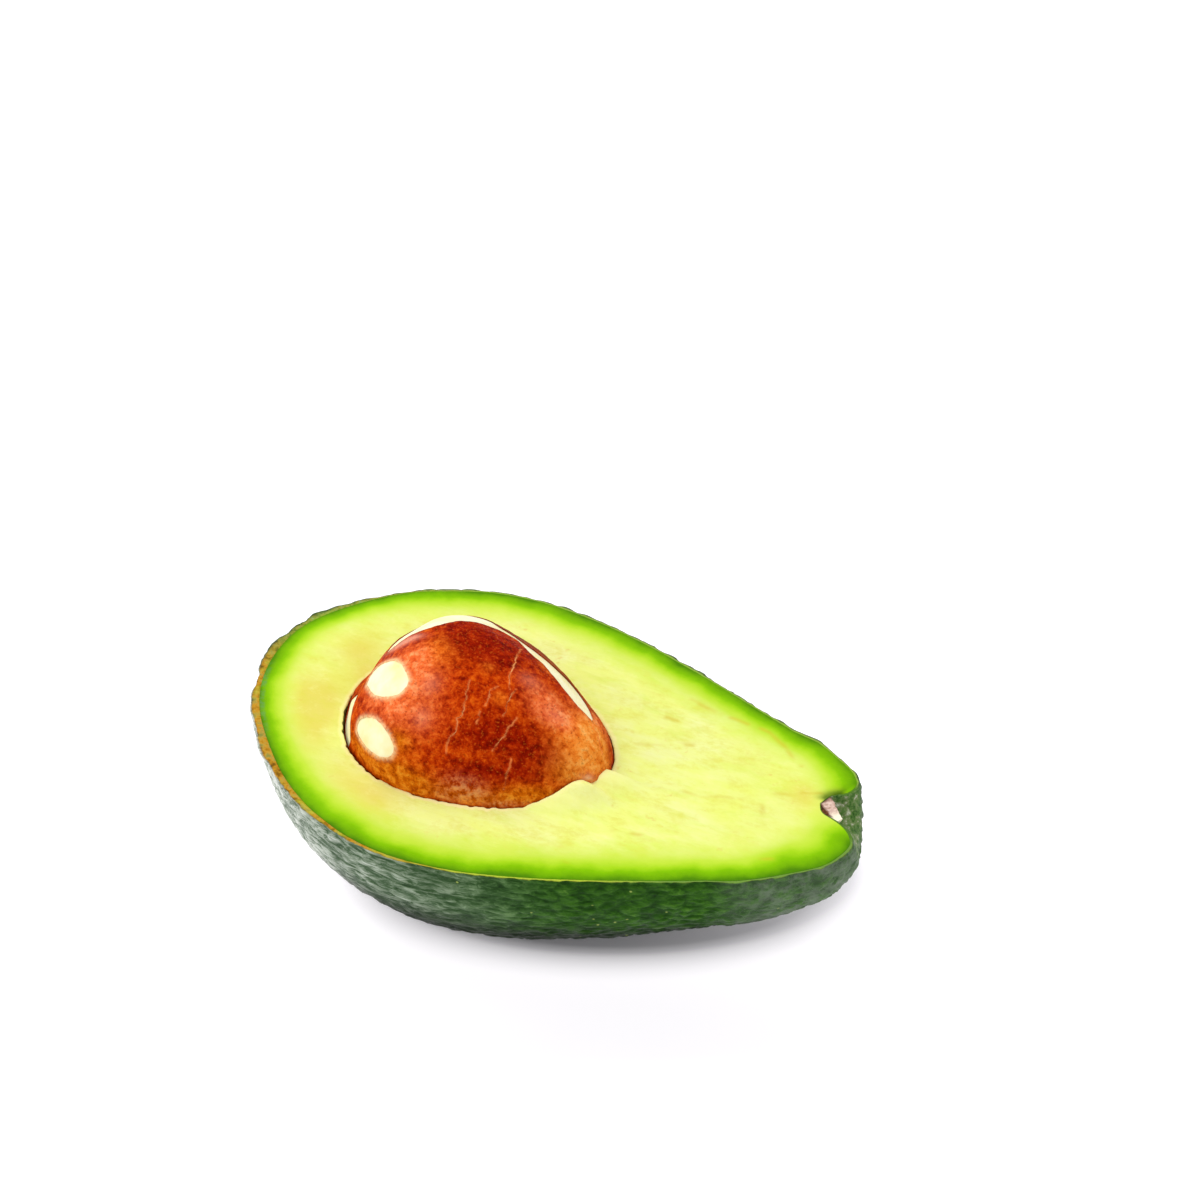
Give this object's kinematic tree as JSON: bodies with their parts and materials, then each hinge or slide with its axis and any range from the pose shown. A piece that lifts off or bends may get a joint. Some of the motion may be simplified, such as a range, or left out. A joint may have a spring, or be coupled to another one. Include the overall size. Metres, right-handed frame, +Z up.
{
  "type": "avocado half",
  "caption": "Half of a ripe avocado cut lengthwise, with pebbled green skin, yellow-green flesh and the whole brown seed still in its cavity.",
  "frame": {"origin": "middle of the small flat spot that the half rests on", "axes": "+Z up out of the cut face, +X along the fruit from the blunt end to the neck, +Y across it"},
  "size_m": [0.1105, 0.0675, 0.0515],
  "materials": {
    "skin": "dark green pebbled skin with a waxy sheen",
    "flesh": "moist cut flesh, bright green under the skin and pale yellow toward the seed",
    "seed_leaf": "cream seed leaf, smooth and dull",
    "seed_coat": "thin papery coat, mottled red-brown, half gloss",
    "stem": "dry woody stem, broken off"
  },
  "bodies": {
    "root": {"skin": "skin", "flesh": "flesh", "seed": "seed_leaf", "seed_coat": "seed_coat", "stem_stub": "stem"}
  },
  "joints": []
}
